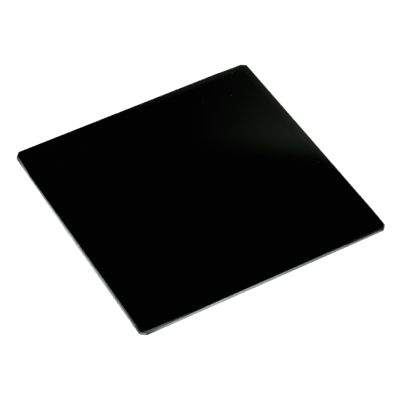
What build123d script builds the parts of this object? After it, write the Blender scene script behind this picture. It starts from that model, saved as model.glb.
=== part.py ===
import os

from build123d import *

# Square neutral density filter: one plate of dense optical glass with ground edges.
# Millimetres. The origin is the centre of the rear face, and +Z is the optical axis,
# from the rear face towards the front face.

# The glass, as cut from the sheet
side = 100.0
thickness = 2.0

# The ground edges
corner_dub = 1.8  # length cut from each side of a corner, at 45 degrees
face_corner_radius = 0.2  # rounding of each dub's two ends, where they meet a face
arris = 0.35  # width of the 45 degree bevel round each face

# The arris narrows the outline by its own width, so the wall's rounding is larger by as much
wall_corner_radius = face_corner_radius + arris

with BuildPart() as filter_plate:
    with BuildSketch():
        Rectangle(side, side)
        chamfer(vertices(), length=corner_dub)
        fillet(vertices(), radius=wall_corner_radius)
    extrude(amount=thickness)
    rear_face = faces().sort_by(Axis.Z)[0]
    front_face = faces().sort_by(Axis.Z)[-1]
    chamfer(rear_face.edges() + front_face.edges(), length=arris)

filter_plate.part.label = "filter_plate"

os.makedirs("parts", exist_ok=True)
export_step(filter_plate.part, "parts/filter_plate.step")
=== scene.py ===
import math

import bpy
from mathutils import Matrix, Vector


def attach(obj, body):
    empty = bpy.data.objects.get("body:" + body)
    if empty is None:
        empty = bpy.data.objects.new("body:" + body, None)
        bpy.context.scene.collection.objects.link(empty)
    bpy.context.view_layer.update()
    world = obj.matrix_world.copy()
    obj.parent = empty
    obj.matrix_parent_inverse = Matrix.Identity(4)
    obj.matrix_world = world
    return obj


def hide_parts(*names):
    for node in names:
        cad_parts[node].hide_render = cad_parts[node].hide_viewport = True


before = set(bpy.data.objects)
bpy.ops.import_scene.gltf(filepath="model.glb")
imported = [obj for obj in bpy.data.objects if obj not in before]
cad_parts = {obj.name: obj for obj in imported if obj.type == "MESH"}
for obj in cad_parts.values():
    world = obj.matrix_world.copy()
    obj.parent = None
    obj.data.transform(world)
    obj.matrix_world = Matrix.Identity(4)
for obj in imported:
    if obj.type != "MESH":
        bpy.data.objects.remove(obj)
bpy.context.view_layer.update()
mm = 0.001
print("frame loaded")


# Small helpers for node trees, shared by the shape and the finishes

def addNode(tree, kind, **settings):
    made = tree.nodes.new(kind)
    for name, value in settings.items():
        setattr(made, name, value)
    return made


def feed(tree, target, value):
    # a socket is wired, and anything else is typed into the input
    if isinstance(value, bpy.types.NodeSocket):
        tree.links.new(value, target)
    else:
        target.default_value = value


def calculate(tree, kind, values, **settings):
    # the values go in order to the inputs that these settings leave in use
    made = addNode(tree, kind, **settings)
    usable = [socket for socket in made.inputs if socket.enabled]
    for socket, value in zip(usable, values):
        feed(tree, socket, value)
    return next(socket for socket in made.outputs if socket.enabled)


def maths(tree, operation, *values):
    return calculate(tree, "ShaderNodeMath", values, operation=operation)


def vectorMaths(tree, operation, *values):
    return calculate(tree, "ShaderNodeVectorMath", values, operation=operation)


def product(tree, first, *others):
    for other in others:
        first = maths(tree, "MULTIPLY", first, other)
    return first


def remainder(tree, share):
    return maths(tree, "SUBTRACT", 1.0, share)


def scaled(tree, vector, factor):
    return vectorMaths(tree, "SCALE", vector, factor)


def joinAxes(tree, x=0.0, y=0.0, z=0.0):
    made = addNode(tree, "ShaderNodeCombineXYZ")
    for socket, value in zip(made.inputs, (x, y, z)):
        feed(tree, socket, value)
    return made.outputs[0]


def splitAxes(tree, vector):
    made = addNode(tree, "ShaderNodeSeparateXYZ")
    feed(tree, made.inputs[0], vector)
    return tuple(made.outputs)


def risen(tree, value, low, high, first=0.0, last=1.0, slope="LINEAR"):
    # first up to the low mark, last from the high one, and a slope between them
    made = addNode(tree, "ShaderNodeMapRange", interpolation_type=slope)
    feed(tree, made.inputs["Value"], value)
    marks = {"From Min": low, "From Max": high, "To Min": first, "To Max": last}
    for name, mark in marks.items():
        feed(tree, made.inputs[name], mark)
    return made.outputs[0]


def noise(tree, vector, scale, detail=2.0, dimensions="3D"):
    made = addNode(tree, "ShaderNodeTexNoise", noise_dimensions=dimensions)
    feed(tree, made.inputs["Vector"], vector)
    feed(tree, made.inputs["Scale"], scale)
    feed(tree, made.inputs["Detail"], detail)
    return made.outputs[0]


def addObject(name, data):
    made = bpy.data.objects.new(name, data)
    bpy.context.scene.collection.objects.link(made)
    return made


# Camera: stands at the near left and looks down on the front face

shot = {
    "place": (-235.4, -419.1, 505.2),  # mm
    "aim": (-1.65, -5.42, 2.0),  # mm, where the middle of the picture meets the front face
    "roll": -0.44,  # degrees, clockwise in the picture
    "focalLength": 172.1,  # mm, and so is the sensor's width
    "sensorWidth": 36.0,
    "clip": (0.01, 20.0),  # metres
}


def placeCamera(settings):
    data = bpy.data.cameras.new("camera")
    data.lens = settings["focalLength"]
    data.sensor_width = settings["sensorWidth"]
    data.clip_start, data.clip_end = settings["clip"]
    camera = addObject("camera", data)
    place = Vector(settings["place"]) * mm
    sight = Vector(settings["aim"]) * mm - place
    turn = sight.to_track_quat("-Z", "Y").to_matrix().to_4x4()
    roll = Matrix.Rotation(math.radians(settings["roll"]), 4, "Z")
    camera.matrix_world = Matrix.Translation(place) @ turn @ roll
    bpy.context.scene.camera = camera


placeCamera(shot)
print("camera placed")


# Finishes of the glass

def newFinish(name, settings):
    finish = bpy.data.materials.new(name)
    finish.use_nodes = True
    tree = finish.node_tree
    shader = tree.nodes["Principled BSDF"]
    shader.inputs["IOR"].default_value = settings["ior"]
    shader.inputs["Specular IOR Level"].default_value = settings["specular"]
    return finish, tree, shader


def mixedColour(tree, factor, first, last):
    return calculate(tree, "ShaderNodeMix", (factor, first, last), data_type="RGBA")


def ranged(tree, pattern, shares, edge=0.3):
    # most of a noise lies between its edge and as far below one, and that part is spread over the shares
    return risen(tree, pattern, edge, 1.0 - edge, *shares)


def raised(tree, shader, height, distance):
    made = addNode(tree, "ShaderNodeBump")
    feed(tree, made.inputs["Height"], height)
    feed(tree, made.inputs["Distance"], distance)
    feed(tree, shader.inputs["Normal"], made.outputs[0])


def objectPlace(tree):
    return addNode(tree, "ShaderNodeTexCoord").outputs["Object"]


def edgePlace(tree):
    # how far along the outline, how far below the front face and how deep in a chip
    stored = addNode(tree, "ShaderNodeAttribute", attribute_name="edgePlace")
    return splitAxes(tree, stored.outputs["Vector"])


polishedFace = {
    "glass": (0.0003, 0.00036, 0.00036, 1.0),
    "dust": (0.0085, 0.0085, 0.008, 1.0),
    "specks": (  # those on the front face: x and y in mm, and how much of the dust's colour
        (42.5, 46.7, 1.0),
        (35.9, 36.3, 0.55),
        (24.6, 38.0, 0.3),
        (45.7, -10.5, 0.4),
    ),
    "speckSize": 0.42 * mm,  # radius of these, and of the largest on the rear face
    "ragged": (0.6, 1.2),  # shares of its radius between which a speck's rim strays
    "raggedScale": 9000.0,  # per metre
    "dustSpacing": 11.0 * mm,  # between the places for a speck on the rear face
    "dustShare": 0.45,  # how many of those places have one
    "paintedSheen": (0.0082, 0.0092, 0.0084, 1.0),  # painted sheen, lighter along the rims that meet at the far right
    "paintedSheenBack": (-5.0 * mm, 36.0 * mm),  # x over which it builds up along the back rim
    "paintedSheenRight": (-18.0 * mm, -4.0 * mm),  # y over which it builds up along the right rim
    "paintedSheenRightShare": 0.66,  # how strong it is there, against the back
    "paintedSheenReach": (3.6 * mm, 0.9 * mm),  # how far in from a rim it starts, and where it is full
    "wipeScale": (30.0, 130.0, 30.0),  # per metre, so that the cloth's traces run left to right
    "wipeTraces": (0.45, 0.75),  # the part of the noise that shows as traces
    "roughness": (0.015, 0.035),  # wiped clean, and in a trace
    "speckRoughness": 0.5,  # added on a speck
    "ior": 1.52,
    "specular": 0.5,
}


def dustSpecks(tree, place, settings):
    # a few at their own places on the front face, and scattered ones on the rear face
    ragged = ranged(tree, noise(tree, place, settings["raggedScale"]), settings["ragged"])
    cells = addNode(tree, "ShaderNodeTexVoronoi")
    feed(tree, cells.inputs["Vector"], place)
    feed(tree, cells.inputs["Scale"], 1.0 / settings["dustSpacing"])
    lot = splitAxes(tree, cells.outputs["Color"])[0]
    largest = settings["speckSize"] / settings["dustSpacing"]
    size = risen(tree, lot, 1.0 - settings["dustShare"], 1.0, 0.0, largest)
    inside = maths(tree, "LESS_THAN", cells.outputs["Distance"], product(tree, size, ragged))
    onRear = maths(tree, "LESS_THAN", splitAxes(tree, place)[2], plate["Thickness"] / 2)
    found = product(tree, inside, onRear)
    for x, y, share in settings["specks"]:
        away = vectorMaths(tree, "DISTANCE", place, (x * mm, y * mm, plate["Thickness"]))
        inside = maths(tree, "LESS_THAN", away, product(tree, ragged, settings["speckSize"]))
        found = maths(tree, "MAXIMUM", found, product(tree, inside, share))
    return found


# Painted sheen: the glass turns lighter near the back and right rims
def rimHaze(tree, place, settings):
    x, y = splitAxes(tree, place)[:2]
    start, full = (plate["Side"] / 2 - inset for inset in settings["paintedSheenReach"])
    alongBack = risen(tree, x, *settings["paintedSheenBack"])
    alongRight = risen(tree, y, *settings["paintedSheenRight"], 0.0, settings["paintedSheenRightShare"])
    back = product(tree, risen(tree, y, start, full), alongBack)
    right = product(tree, risen(tree, x, start, full), alongRight)
    return maths(tree, "MAXIMUM", back, right)


def makePolishedFace(settings):
    finish, tree, shader = newFinish("polishedFace", settings)
    place = objectPlace(tree)
    speck = dustSpecks(tree, place, settings)
    sheenedGlass = mixedColour(tree, rimHaze(tree, place, settings), settings["glass"], settings["paintedSheen"])
    feed(tree, shader.inputs["Base Color"], mixedColour(tree, speck, sheenedGlass, settings["dust"]))
    wiped = noise(tree, vectorMaths(tree, "MULTIPLY", place, settings["wipeScale"]), 1.0, 4.0)
    smooth = risen(tree, wiped, *settings["wipeTraces"], *settings["roughness"])
    roughness = maths(tree, "MULTIPLY_ADD", speck, settings["speckRoughness"], smooth)
    feed(tree, shader.inputs["Roughness"], roughness)
    return finish


groundWall = {
    "finishAndLightGrades": (  # partly the glass's own grind and partly painted light, lightest at the far left: from the near right corner, past the near left one at a half, to the far left one
        (0.0, (0.105, 0.123, 0.119, 1.0)),
        (0.125, (0.175, 0.197, 0.191, 1.0)),
        (0.2, (0.21, 0.234, 0.228, 1.0)),
        (0.31, (0.355, 0.387, 0.378, 1.0)),
        (0.46, (0.31, 0.341, 0.333, 1.0)),
        (0.56, (0.215, 0.238, 0.232, 1.0)),
        (1.0, (0.60, 0.63, 0.62, 1.0)),
    ),
    "cornerShade": (0.1, 0.15, 0.06),  # painted shade: how dark it turns at the near right, near left and far left corners
    "cornerStart": (1.3 * mm, 1.6 * mm, 4.0 * mm),  # dark up to here at each, along the wall
    "cornerEnd": (3.5 * mm, 11.0 * mm, 15.0 * mm),  # and no longer from here
    "nearTurn": (0.15, 0.3),  # on the grades' way, where the first corner's values become the second's
    "leftTurn": (0.7, 0.85),  # and the second's become the third's
    "nearLeftCut": (197.8 * mm, 198.3 * mm),  # along the outline, where the near left corner's cut starts
    "nearLeftCutEnd": (200.0 * mm, 200.6 * mm),
    "cutHighlight": 0.61,  # painted highlight: that cut stays this light
    "grainSize": 0.35 * mm,
    "grainShades": (0.9, 1.1),  # lightness from these marks, darkest and lightest
    "strokeLength": 6.0 * mm,  # marks that the wheel left along the edge
    "strokeWidth": 0.12 * mm,
    "strokeShades": (0.8, 1.15),
    "patchScale": 160.0,  # per metre
    "patchShades": (0.86, 1.1),
    "roughness": (0.36, 0.56),
    "cornerRoughness": 0.4,  # added where a corner is dark
    "relief": 0.012 * mm,
    "ior": 1.52,
    "specular": 0.3,
}


def grindMarks(tree, place, along, depth, settings):
    # strokes that follow the edge, a fine grain, and soft patches
    alongStroke = maths(tree, "DIVIDE", along, settings["strokeLength"])
    acrossStroke = maths(tree, "DIVIDE", depth, settings["strokeWidth"])
    strokes = noise(tree, joinAxes(tree, alongStroke, acrossStroke), 1.0, 3.0, "2D")
    grain = noise(tree, place, 1.0 / settings["grainSize"])
    patches = noise(tree, place, settings["patchScale"], 1.0)
    return strokes, grain, patches


def patchShade(tree, patches, settings):
    return ranged(tree, patches, settings["patchShades"], edge=0.35)  # a coarse noise has less contrast


def grindTrend(tree, place):
    # nought at the near right corner and one at the far left
    x, y = splitAxes(tree, place)[:2]
    return risen(tree, maths(tree, "SUBTRACT", y, x), -plate["Side"], plate["Side"])


def gradedColour(tree, trend, finishAndLightGrades):
    ramp = addNode(tree, "ShaderNodeValToRGB")
    stops = ramp.color_ramp.elements
    stops.remove(stops[1])
    for i, (where, colour) in enumerate(finishAndLightGrades):
        stop = stops.new(where) if i else stops[0]
        stop.color = colour
    feed(tree, ramp.inputs[0], trend)
    return ramp.outputs[0]


def atCorners(tree, trend, values, settings):
    nearRight, nearLeft, farLeft = values
    nearer = risen(tree, trend, *settings["nearTurn"], nearRight, nearLeft)
    return maths(tree, "ADD", nearer, risen(tree, trend, *settings["leftTurn"], 0.0, farLeft - nearLeft))


def cornerLight(tree, place, trend, along, settings):
    # painted shade: one away from the corners and darker close to each, and a painted highlight keeps the
    # near left corner's cut light
    x, y = splitAxes(tree, place)[:2]
    nearer = maths(tree, "MINIMUM", maths(tree, "ABSOLUTE", x), maths(tree, "ABSOLUTE", y))
    distance = maths(tree, "SUBTRACT", plate["Side"] / 2, nearer)
    names = ("cornerShade", "cornerStart", "cornerEnd")
    shade, start, end = (atCorners(tree, trend, settings[name], settings) for name in names)
    light = risen(tree, distance, start, end, shade, 1.0, "SMOOTHSTEP")
    pastStart = risen(tree, along, *settings["nearLeftCut"])
    beforeEnd = risen(tree, along, *settings["nearLeftCutEnd"], 1.0, 0.0)
    return maths(tree, "MAXIMUM", light, product(tree, pastStart, beforeEnd, settings["cutHighlight"]))


def makeGroundWall(settings):
    finish, tree, shader = newFinish("groundWall", settings)
    place = objectPlace(tree)
    trend = grindTrend(tree, place)
    along, depth = edgePlace(tree)[:2]
    strokes, grain, patches = grindMarks(tree, place, along, depth, settings)
    light = cornerLight(tree, place, trend, along, settings)
    fine = product(tree, ranged(tree, strokes, settings["strokeShades"]),
                   ranged(tree, grain, settings["grainShades"]))
    # the corners' painted shade and the cut's painted highlight go into the colour here
    shade = product(tree, fine, patchShade(tree, patches, settings), light)
    # the graded colour is partly the ground glass's own and partly painted light
    colour = scaled(tree, gradedColour(tree, trend, settings["finishAndLightGrades"]), shade)
    feed(tree, shader.inputs["Base Color"], colour)
    dull = product(tree, remainder(tree, light), settings["cornerRoughness"])
    roughness = maths(tree, "ADD", ranged(tree, grain, settings["roughness"]), dull)
    feed(tree, shader.inputs["Roughness"], roughness)
    raised(tree, shader, maths(tree, "ADD", strokes, grain), settings["relief"])
    return finish


seamedArris = {
    "smooth": (0.001, 0.0011, 0.0011, 1.0),
    "rough": (0.128, 0.14, 0.136, 1.0),
    "chip": (0.085, 0.092, 0.09, 1.0),
    "chipDepth": (0.3, 0.8),  # shares of a nick's depth over which its colour comes in
    "sideReach": 1.5 * mm,  # what lies this close to a side belongs to its seam
    "nearRough": (-30.0 * mm, -46.0 * mm),  # x over which the seam of the near side turns rough
    "nearShare": 0.7,  # how rough it gets, against the left one
    "nearEnd": (-48.8 * mm, -47.5 * mm),  # x over which that stops, on the near left corner's cut
    "leftRough": (-50.0 * mm, -24.0 * mm),  # y over which the seam of the left side turns rough
    "leftFiner": (37.0 * mm, 44.0 * mm),  # y over which it turns finer again
    "leftShare": 0.45,  # how rough it still is there
    "grainSize": 0.3 * mm,
    "strokeLength": 4.0 * mm,
    "strokeWidth": 0.1 * mm,
    "strokeShades": (0.7, 1.15),  # how much of the roughness is left in these marks
    "patchScale": 220.0,  # per metre
    "patchShades": (0.7, 1.1),
    "roughness": (0.12, 0.2),
    "addedRoughness": 0.14,  # where the seam is rough
    "relief": 0.006 * mm,
    "ior": 1.52,
    "specular": 0.2,
}


def roughSeam(tree, place, settings):
    # rough towards the near left corner and along the left side, smooth elsewhere
    x, y = splitAxes(tree, place)[:2]
    brink = settings["sideReach"] - plate["Side"] / 2
    near = product(tree, risen(tree, x, *settings["nearRough"], 0.0, settings["nearShare"]),
                   risen(tree, x, *settings["nearEnd"]), maths(tree, "LESS_THAN", y, brink))
    left = product(tree, risen(tree, y, *settings["leftRough"]), maths(tree, "LESS_THAN", x, brink),
                   risen(tree, y, *settings["leftFiner"], 1.0, settings["leftShare"]))
    return maths(tree, "MAXIMUM", near, left)


def makeSeamedArris(settings):
    finish, tree, shader = newFinish("seamedArris", settings)
    place = objectPlace(tree)
    along, depth, chipped = edgePlace(tree)
    strokes, grain, patches = grindMarks(tree, place, along, depth, settings)
    rough = product(tree, roughSeam(tree, place, settings), ranged(tree, strokes, settings["strokeShades"]),
                    patchShade(tree, patches, settings))
    ground = mixedColour(tree, rough, settings["smooth"], settings["rough"])
    inChip = risen(tree, chipped, *settings["chipDepth"])
    feed(tree, shader.inputs["Base Color"], mixedColour(tree, inChip, ground, settings["chip"]))
    roughness = ranged(tree, grain, settings["roughness"])
    roughness = maths(tree, "MULTIPLY_ADD", rough, settings["addedRoughness"], roughness)
    feed(tree, shader.inputs["Roughness"], roughness)
    raised(tree, shader, maths(tree, "ADD", strokes, grain), settings["relief"])
    return finish


# The plate: its section is carried round its outline, and the two faces close it.
# The tree works downwards from the front face and lifts the finished plate onto the floor.

plate = {
    "Side": 100.0 * mm,
    "Thickness": 2.0 * mm,
    "Near Left Across": 2.3 * mm,  # cut off each corner by hand, left to right and then front to back
    "Near Left Along": 1.45 * mm,
    "Near Right Across": 1.4 * mm,
    "Near Right Along": 1.3 * mm,
    "Far Right Across": 2.05 * mm,
    "Far Right Along": 1.45 * mm,
    "Far Left Across": 1.7 * mm,
    "Far Left Along": 2.1 * mm,
    "Face Corner Radius": 0.2 * mm,  # rounding of a cut's ends, at the faces
    "Soft Radius": 1.3 * mm,  # where the wheel rolled round the end of a cut
    "Left Lean": 0.57 * mm,  # how far the left side leans in towards its far end
    "Left Lean Length": 16.0 * mm,
    "Back Lean": 0.3 * mm,  # the back side towards its right end
    "Back Lean Length": 14.4 * mm,
    "Right Lean": 0.17 * mm,  # and the right side towards its near end
    "Right Lean Length": 9.6 * mm,
    "Lean Start": 0.25,  # share of that length, next to the corner, that leans in fully
    "Arris": 0.35 * mm,  # width of the bevel round each face
    "Ridge Radius": 0.04 * mm,  # the bevels' ridges are not knife sharp
    "Land": 0.18 * mm,  # strip of each face that is carried round with the bevels
    "Step": 0.25 * mm,  # spacing of points along the outline
    "Right Dip": 0.3 * mm,  # how much deeper the near side's front arris is cut at its right end
    "Right Dip Start": 0.26,  # shares of the side, from its middle, between which it deepens
    "Right Dip Full": 0.36,
    "Left Dip": 0.17 * mm,  # the same at its left end
    "Left Dip Start": -0.2,
    "Left Dip Full": -0.42,
    "Spread": 0.06 * mm,  # where it is also cut further in
    "Spread Start": -0.42,
    "Spread Full": -0.46,
    "Dip Reach": 3.0 * mm,  # how far in from the near side these fade out
    "Waver": 0.05 * mm,  # how far a hand-held grind strays from a straight ridge
    "Waver Length": 3.0 * mm,
    "Waver Apart": 0.25 * mm,  # ridges this far apart waver each in their own way
    "First Nick": 203.7 * mm,  # along the outline, on the front arris of the left side
    "Second Nick": 209.2 * mm,
    "Nick Width": 0.65 * mm,
    "Nick Depth": 0.12 * mm,
    "Nick Rim": 0.3,  # share of that depth by which it bites into the face's rim
    "Nick Sink": 0.8,  # share of that depth by which it also goes down
    "Chip Spacing": 7.0 * mm,  # one place for a smaller chip in each such length
    "Chip Share": 0.4,  # how many of those places have one
    "Chip Size": 0.4,  # of a nick's
    "Seed": 4.0,
    "Rear Shift": 17.3,  # added to the seed for the rear face's chips
    "Weld": 0.001 * mm,  # points closer than this become one
    "Face From": 0.995,  # how level a facet is to count as part of a face
    "Wall Up To": 0.3,  # and as part of the wall
}

cornerPoints = 8  # on each rounding of the outline
ridgePoints = 2  # on each ridge of the section

finishes = {
    "Face Finish": makePolishedFace(polishedFace),
    "Wall Finish": makeGroundWall(groundWall),
    "Arris Finish": makeSeamedArris(seamedArris),
}
print("finishes made")


def declareInputs(tree, sizes, materials):
    face = tree.interface
    for name, value in sizes.items():
        socket = face.new_socket(name, in_out="INPUT", socket_type="NodeSocketFloat")
        socket.default_value = value
    for name in materials:
        face.new_socket(name, in_out="INPUT", socket_type="NodeSocketMaterial")
    face.new_socket("Geometry", in_out="OUTPUT", socket_type="NodeSocketGeometry")


def through(tree, kind, geometry, settings=None, **values):
    # a node with one geometry in and one out, its other inputs given by name
    made = addNode(tree, kind, **(settings or {}))
    feed(tree, made.inputs[0], geometry)
    for name, value in values.items():
        feed(tree, made.inputs[name.replace("_", " ")], value)
    return made.outputs[0]


def chosen(tree, kind, choices):
    # the first point gets the first choice, and so on
    pick = addNode(tree, "GeometryNodeIndexSwitch", data_type=kind)
    while len(pick.index_switch_items) < len(choices):
        pick.index_switch_items.new()
    feed(tree, pick.inputs["Index"], addNode(tree, "GeometryNodeInputIndex").outputs[0])
    for i, choice in enumerate(choices):
        feed(tree, pick.inputs[str(i)], choice)
    return pick.outputs[0]


def lineThrough(tree, places):
    line = addNode(tree, "GeometryNodeMeshLine")
    feed(tree, line.inputs["Count"], len(places))
    position = chosen(tree, "VECTOR", places)
    bent = through(tree, "GeometryNodeSetPosition", line.outputs[0], Position=position)
    return through(tree, "GeometryNodeMeshToCurve", bent)


def currentPlace(tree):
    return addNode(tree, "GeometryNodeInputPosition").outputs[0]


def outlineCurve(tree, given):
    # from the far right corner's cut, down the right side and round the plate
    half = product(tree, given["Side"], 0.5)
    crisp = maths(tree, "ADD", given["Face Corner Radius"], given["Arris"])
    soft = given["Soft Radius"]
    # corner, its signs in x and y, whether its cut starts on the right or left side, and two roundings
    cuts = (
        ("Far Right", 1, 1, False, crisp, crisp),
        ("Near Right", 1, -1, True, crisp, crisp),
        ("Near Left", -1, -1, False, crisp, soft),
        ("Far Left", -1, 1, True, crisp, soft),
    )
    places = []
    radii = []
    for corner, right, far, sideFirst, firstRadius, lastRadius in cuts:
        fullX = product(tree, half, right)
        fullY = product(tree, half, far)
        shortX = product(tree, maths(tree, "SUBTRACT", half, given[corner + " Across"]), right)
        shortY = product(tree, maths(tree, "SUBTRACT", half, given[corner + " Along"]), far)
        ends = [joinAxes(tree, shortX, fullY), joinAxes(tree, fullX, shortY)]
        places += reversed(ends) if sideFirst else ends
        radii += [firstRadius, lastRadius]
    closed = through(tree, "GeometryNodeSetSplineCyclic", lineThrough(tree, places), Cyclic=True)
    rounding = {"Count": cornerPoints, "Radius": chosen(tree, "FLOAT", radii)}
    eased = through(tree, "GeometryNodeFilletCurve", closed, {"mode": "POLY"}, **rounding)
    return through(tree, "GeometryNodeSetCurveNormal", eased, {"mode": "Z_UP"})  # normals point inwards


def dividedAlong(tree, curve, step):
    # long edges get points a step apart, and the short chords of the corners stay whole
    following = addNode(tree, "GeometryNodeOffsetPointInCurve")
    feed(tree, following.inputs["Offset"], 1)
    here = currentPlace(tree)
    there = addNode(tree, "GeometryNodeFieldAtIndex", data_type="FLOAT_VECTOR", domain="POINT")
    feed(tree, there.inputs["Index"], following.outputs["Point Index"])
    feed(tree, there.inputs["Value"], here)
    length = vectorMaths(tree, "DISTANCE", here, there.outputs[0])
    cuts = maths(tree, "FLOOR", maths(tree, "DIVIDE", length, step))
    return through(tree, "GeometryNodeSubdivideCurve", curve, Cuts=cuts)


def leaningSides(tree, given, curve):
    # three sides lean in at one end, where they were dressed with a heavier hand
    half = product(tree, given["Side"], 0.5)
    x, y = splitAxes(tree, currentPlace(tree))[:2]
    toRight = maths(tree, "SUBTRACT", half, x)
    toLeft = maths(tree, "ADD", half, x)
    toBack = maths(tree, "SUBTRACT", half, y)
    toFront = maths(tree, "ADD", half, y)

    def leaning(name, fromEnd, fromSide):
        length = given[name + " Length"]
        start = product(tree, length, given["Lean Start"])
        atEnd = risen(tree, fromEnd, start, length, 1.0, 0.0, "SMOOTHSTEP")
        beside = risen(tree, fromSide, start, length, 1.0, 0.0)
        return product(tree, atEnd, beside, given[name])

    leftIn = leaning("Left Lean", toBack, toLeft)
    rightIn = leaning("Right Lean", toFront, toRight)
    backIn = leaning("Back Lean", toRight, toBack)
    offset = joinAxes(tree, maths(tree, "SUBTRACT", leftIn, rightIn), product(tree, backIn, -1.0))
    return through(tree, "GeometryNodeSetPosition", curve, Offset=offset)


def sectionCurve(tree, given):
    # from the rear face round to the front one, x inwards from the wall and y down from the front face
    low = given["Thickness"]
    arris = given["Arris"]
    half = product(tree, arris, 0.5)
    inner = maths(tree, "ADD", arris, given["Land"])
    wallFoot = maths(tree, "SUBTRACT", low, arris)
    lowHalf = maths(tree, "SUBTRACT", low, half)
    corners = [(inner, low), (arris, low), (half, lowHalf), (0.0, wallFoot)]
    corners += [(0.0, arris), (half, half), (arris, 0.0), (inner, 0.0)]
    curve = lineThrough(tree, [joinAxes(tree, x, y) for x, y in corners])
    rounding = {"Count": ridgePoints, "Radius": given["Ridge Radius"]}
    return through(tree, "GeometryNodeFilletCurve", curve, {"mode": "POLY"}, **rounding), inner


def captured(tree, geometry, kind, value):
    # keeps a field's value on the curve's points, so that it can be read on the swept mesh
    made = addNode(tree, "GeometryNodeCaptureAttribute")
    made.capture_items.new(kind, "kept")
    feed(tree, made.inputs["Geometry"], geometry)
    feed(tree, made.inputs["kept"], value)
    return made.outputs["Geometry"], made.outputs["kept"]


def bowl(tree, size, distance, width):
    # as deep as its size in the middle, and nought outside its width
    reach = maths(tree, "DIVIDE", distance, product(tree, width, 0.5))
    return maths(tree, "MAXIMUM", maths(tree, "SUBTRACT", size, product(tree, reach, reach)), 0.0)


def nickMask(tree, given, along, isRear):
    # two nicks where they were found, and small chips scattered round both arrises
    width = given["Nick Width"]
    shift = maths(tree, "MULTIPLY_ADD", isRear, given["Rear Shift"], given["Seed"])
    cells = addNode(tree, "ShaderNodeTexVoronoi", voronoi_dimensions="1D")
    cell = maths(tree, "DIVIDE", along, given["Chip Spacing"])
    feed(tree, cells.inputs["W"], maths(tree, "ADD", cell, shift))
    feed(tree, cells.inputs["Scale"], 1.0)
    lot = addNode(tree, "FunctionNodeSeparateColor")
    feed(tree, lot.inputs[0], cells.outputs["Color"])
    size = risen(tree, lot.outputs[0], remainder(tree, given["Chip Share"]), 1.0)
    away = product(tree, cells.outputs["Distance"], given["Chip Spacing"])
    deepest = product(tree, bowl(tree, size, away, width), given["Chip Size"])
    for name in ("First Nick", "Second Nick"):
        nick = bowl(tree, 1.0, maths(tree, "SUBTRACT", along, given[name]), width)
        deepest = maths(tree, "MAXIMUM", deepest, product(tree, nick, remainder(tree, isRear)))
    return deepest


def strips(tree, given, inset):
    # one for the section's points at the wall, in mid-bevel or at a face's rim, told by their inset
    quarter = product(tree, given["Arris"], 0.25)
    onWall = maths(tree, "LESS_THAN", inset, quarter)
    pastBevel = maths(tree, "GREATER_THAN", inset, product(tree, quarter, 3.0))
    pastRim = maths(tree, "MULTIPLY_ADD", given["Land"], 0.5, given["Arris"])
    onRim = maths(tree, "SUBTRACT", pastBevel, maths(tree, "GREATER_THAN", inset, pastRim))
    onBevel = remainder(tree, maths(tree, "ADD", onWall, pastBevel))
    return onWall, onBevel, onRim


def ridgeWaver(tree, given, along, depth):
    alongRidge = maths(tree, "DIVIDE", along, given["Waver Length"])
    ownRidge = maths(tree, "DIVIDE", depth, given["Waver Apart"])
    stray = noise(tree, joinAxes(tree, alongRidge, ownRidge), 1.0, dimensions="2D")
    return product(tree, maths(tree, "SUBTRACT", stray, 0.5), given["Waver"])


def nearSideCut(tree, given, isRear):
    # the near side's front arris is cut deeper at both ends, and further in at the left one
    x, y = splitAxes(tree, currentPlace(tree))[:2]
    across = maths(tree, "DIVIDE", x, given["Side"])
    fromNear = maths(tree, "MULTIPLY_ADD", given["Side"], 0.5, y)
    beside = risen(tree, fromNear, 0.0, given["Dip Reach"], 1.0, 0.0)
    onFront = remainder(tree, isRear)

    def grown(name):
        share = risen(tree, across, given[name + " Start"], given[name + " Full"])
        return product(tree, share, given[name], beside, onFront)

    return maths(tree, "ADD", grown("Right Dip"), grown("Left Dip")), grown("Spread")


def wornRidges(tree, given, band, inward, along, inset, depth):
    # the ridges stray as ground by hand, and a nick bites into the bevel and the rim of the face
    onWall, onBevel, onRim = strips(tree, given, inset)
    isRear = maths(tree, "GREATER_THAN", depth, product(tree, given["Thickness"], 0.5))
    strayed = ridgeWaver(tree, given, along, depth)
    dip, spread = nearSideCut(tree, given, isRear)
    mask = nickMask(tree, given, along, isRear)
    nick = product(tree, mask, given["Nick Depth"])

    nickedIn = product(tree, nick, maths(tree, "MULTIPLY_ADD", onRim, given["Nick Rim"], onBevel))
    pull = maths(tree, "MULTIPLY_ADD", maths(tree, "ADD", strayed, spread), onRim, nickedIn)
    sink = product(tree, nick, onBevel, given["Nick Sink"])
    dipped = product(tree, dip, maths(tree, "MULTIPLY_ADD", onBevel, 0.5, onWall))  # by half in mid-bevel
    drop = maths(tree, "ADD", maths(tree, "MULTIPLY_ADD", strayed, onWall, dipped), sink)
    away = maths(tree, "MULTIPLY_ADD", isRear, 2.0, -1.0)  # up from the rear face, down from the front one
    upright = joinAxes(tree, z=product(tree, drop, away))
    offset = vectorMaths(tree, "ADD", scaled(tree, inward, pull), upright)
    return through(tree, "GeometryNodeSetPosition", band, Offset=offset), mask


def faceSheet(tree, outline, inward, inner, drop, turnedOver):
    # the flat that one land is carried round
    rim = through(tree, "GeometryNodeSetPosition", outline, Offset=scaled(tree, inward, inner))
    sheet = through(tree, "GeometryNodeFillCurve", rim, {"mode": "NGONS"})
    fall = joinAxes(tree, z=product(tree, drop, -1.0))
    lowered = through(tree, "GeometryNodeSetPosition", sheet, Offset=fall)
    return through(tree, "GeometryNodeFlipFaces", lowered, Selection=turnedOver)


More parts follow.
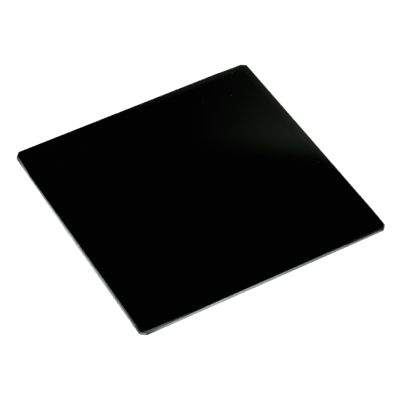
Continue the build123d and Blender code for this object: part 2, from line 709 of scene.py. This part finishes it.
def finished(tree, given, geometry, normal):
    # each finish goes where the grinder left it, told by how far a facet leans from level
    level = maths(tree, "ABSOLUTE", splitAxes(tree, normal)[2])
    flat = maths(tree, "GREATER_THAN", level, given["Face From"])
    upright = maths(tree, "LESS_THAN", level, given["Wall Up To"])
    made = through(tree, "GeometryNodeSetMaterial", geometry, Material=given["Arris Finish"])
    made = through(tree, "GeometryNodeSetMaterial", made, Selection=flat, Material=given["Face Finish"])
    return through(tree, "GeometryNodeSetMaterial", made, Selection=upright, Material=given["Wall Finish"])


def plateTree(sizes, materials):
    tree = bpy.data.node_groups.new("plate", "GeometryNodeTree")
    declareInputs(tree, sizes, materials)
    entry = addNode(tree, "NodeGroupInput")
    given = {socket.name: socket for socket in entry.outputs if socket.name}

    normal = addNode(tree, "GeometryNodeInputNormal").outputs[0]
    length = addNode(tree, "GeometryNodeSplineParameter").outputs["Length"]
    outline = leaningSides(tree, given, dividedAlong(tree, outlineCurve(tree, given), given["Step"]))
    outline, inward = captured(tree, outline, "VECTOR", normal)
    outline, along = captured(tree, outline, "FLOAT", length)
    section, inner = sectionCurve(tree, given)
    section, sectionPlace = captured(tree, section, "VECTOR", currentPlace(tree))
    inset, depth = splitAxes(tree, sectionPlace)[:2]
    band = addNode(tree, "GeometryNodeCurveToMesh")
    feed(tree, band.inputs["Curve"], outline)
    feed(tree, band.inputs["Profile Curve"], section)
    worn, chipped = wornRidges(tree, given, band.outputs[0], inward, along, inset, depth)

    whole = addNode(tree, "GeometryNodeJoinGeometry")
    feed(tree, whole.inputs[0], worn)
    feed(tree, whole.inputs[0], faceSheet(tree, outline, inward, inner, 0.0, False))
    feed(tree, whole.inputs[0], faceSheet(tree, outline, inward, inner, given["Thickness"], True))
    welded = through(tree, "GeometryNodeMergeByDistance", whole.outputs[0], Distance=given["Weld"])
    lifted = through(tree, "GeometryNodeSetPosition", welded, Offset=joinAxes(tree, z=given["Thickness"]))
    made = through(tree, "GeometryNodeRealizeInstances", lifted)
    made = through(tree, "GeometryNodeSetShadeSmooth", made, Shade_Smooth=False)
    made = finished(tree, given, made, normal)
    kind = {"data_type": "FLOAT_VECTOR", "domain": "POINT"}
    stored = {"Name": "edgePlace", "Value": joinAxes(tree, along, depth, chipped)}
    made = through(tree, "GeometryNodeStoreNamedAttribute", made, kind, **stored)
    closing = addNode(tree, "NodeGroupOutput")
    feed(tree, closing.inputs["Geometry"], made)
    return tree


def meshFromTree(name, tree, materials):
    # runs the tree on an empty object and keeps the result as a plain mesh
    blank = addObject(name + "Blank", bpy.data.meshes.new(name + "Blank"))
    modifier = blank.modifiers.new("tree", "NODES")
    modifier.node_group = tree
    for socket in tree.interface.items_tree:
        if socket.name in materials:
            modifier[socket.identifier] = materials[socket.name]
    depsgraph = bpy.context.evaluated_depsgraph_get()
    mesh = bpy.data.meshes.new_from_object(blank.evaluated_get(depsgraph), depsgraph=depsgraph)
    bpy.data.objects.remove(blank)
    if mesh.materials[0] is None:
        mesh.materials.pop(index=0)  # the empty slot that the sweep starts with
    mesh.name = name
    return addObject(name, mesh)


glassPlate = meshFromTree("glassPlate", plateTree(plate, finishes), finishes)
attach(glassPlate, "root")
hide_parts("filter_plate")
print("plate made:", len(glassPlate.data.polygons), "faces")


# Floor: white to the camera, and lit softly enough to keep a faint shadow

floorSettings = {
    "radius": 3.0,
    "sides": 96,
    "colour": (0.75, 0.75, 0.75, 1.0),
    "ownLight": (0.32, 1.0),  # near the plate, where the lamps add the rest of the white, and far from it
    "farOut": (0.15, 1.0),  # distances for these
    "ior": 1.45,
    "specular": 0.0,
}


def seenDirectly(tree):
    # one for camera, glossy and transmission rays
    ray = addNode(tree, "ShaderNodeLightPath")
    seen = maths(tree, "MAXIMUM", ray.outputs["Is Camera Ray"], ray.outputs["Is Glossy Ray"])
    return maths(tree, "MAXIMUM", seen, ray.outputs["Is Transmission Ray"])


def makeFloor(settings):
    finish, tree, shader = newFinish("floorWhite", settings)
    shader.inputs["Base Color"].default_value = settings["colour"]
    shader.inputs["Roughness"].default_value = 1.0
    shader.inputs["Emission Color"].default_value = (1.0, 1.0, 1.0, 1.0)
    fromMiddle = vectorMaths(tree, "LENGTH", objectPlace(tree))
    ownLight = risen(tree, fromMiddle, *settings["farOut"], *settings["ownLight"])
    feed(tree, shader.inputs["Emission Strength"], product(tree, seenDirectly(tree), ownLight))
    mesh = bpy.data.meshes.new("floor")
    radius, sides = settings["radius"], settings["sides"]
    around = [math.tau * i / sides for i in range(sides)]
    rim = [(radius * math.cos(a), radius * math.sin(a), 0.0) for a in around]
    mesh.from_pydata(rim, [], [tuple(range(sides))])
    mesh.materials.append(finish)
    floor = addObject("floor", mesh)


makeFloor(floorSettings)


# Studio: a white band round the horizon, a dim ceiling, and a panel behind on the right

studio = {
    "horizon": 1.0,
    "ceiling": 0.005,
    "bandTop": (8.0, 26.0),  # degrees above the floor, between which the band fades out
    "bandEnds": (105.0, 140.0),  # degrees from +Y, to either side, over which it dims towards the camera
    "bandFront": 0.15,
    "panelTop": (44.65, 45.35),  # degrees above the floor: the upper edge, which the front face mirrors
    "panelRise": (43.3, 44.7),  # over which the panel brightens upwards
    "panelRiseShares": (0.6, 1.2),
    "panelLeft": (28.3, 34.0),  # degrees from +Y towards +X, over which the panel brightens
    "panelEase": 2.0,  # how softly it starts there
    "panelRight": (60.0, 70.0),  # over which it fades out
    "panelColour": (0.77, 1.0, 0.73),
    "panelStrength": 0.225,
}


def horizonBand(tree, height, turn, settings):
    aside = maths(tree, "ABSOLUTE", turn)
    frontward = risen(tree, aside, *settings["bandEnds"], 1.0, settings["bandFront"])
    band = product(tree, frontward, risen(tree, height, *settings["bandTop"], 1.0, 0.0))
    return maths(tree, "MULTIPLY_ADD", band, settings["horizon"] - settings["ceiling"], settings["ceiling"])


def panelLight(tree, height, turn, settings):
    below = remainder(tree, risen(tree, height, *settings["panelTop"]))
    rise = risen(tree, height, *settings["panelRise"], *settings["panelRiseShares"])
    left = maths(tree, "POWER", risen(tree, turn, *settings["panelLeft"]), settings["panelEase"])
    sides = maths(tree, "SUBTRACT", left, risen(tree, turn, *settings["panelRight"]))
    strength = product(tree, below, rise, sides, settings["panelStrength"])
    return scaled(tree, settings["panelColour"], strength)


def makeStudio(settings):
    world = bpy.data.worlds.new("studio")
    world.use_nodes = True
    bpy.context.scene.world = world
    tree = world.node_tree
    x, y, z = splitAxes(tree, addNode(tree, "ShaderNodeTexCoord").outputs["Generated"])
    height = maths(tree, "DEGREES", maths(tree, "ARCSINE", z))
    turn = maths(tree, "DEGREES", maths(tree, "ARCTAN2", x, y))
    band = horizonBand(tree, height, turn, settings)
    panel = panelLight(tree, height, turn, settings)
    around = vectorMaths(tree, "MAXIMUM", joinAxes(tree, band, band, band), panel)
    seen = addNode(tree, "ShaderNodeLightPath").outputs["Is Camera Ray"]  # white to the camera
    shown = vectorMaths(tree, "MAXIMUM", around, joinAxes(tree, seen, seen, seen))
    feed(tree, tree.nodes["Background"].inputs["Color"], shown)


makeStudio(studio)


# Lamps: soft boxes, each aimed at the middle of the plate

lamps = {
    "keyLamp": {
        "turn": -165.0,  # degrees from +Y towards +X
        "height": 60.0,  # degrees above the floor
        "distance": 1.6,
        "size": (0.6, 0.6),
        "watts": 28.0,
    },
    "sideLamp": {
        "turn": -49.0,
        "height": 14.0,
        "distance": 0.205,
        "size": (0.12, 0.07),
        "watts": 0.325,
    },
}


def placeLamp(name, settings):
    data = bpy.data.lights.new(name, "AREA")
    data.shape = "RECTANGLE"
    data.size, data.size_y = settings["size"]
    data.energy = settings["watts"]
    lamp = addObject(name, data)
    lamp.visible_camera = False
    lamp.visible_glossy = False  # the faces would mirror it as a white patch
    turn, height = math.radians(settings["turn"]), math.radians(settings["height"])
    level = math.cos(height)
    away = Vector((level * math.sin(turn), level * math.cos(turn), math.sin(height)))
    aim = away.to_track_quat("Z", "Y").to_matrix().to_4x4()
    lamp.matrix_world = Matrix.Translation(away * settings["distance"]) @ aim


for name, settings in lamps.items():
    placeLamp(name, settings)

view = bpy.context.scene.view_settings
view.view_transform = "Standard"
print("floor and light placed")
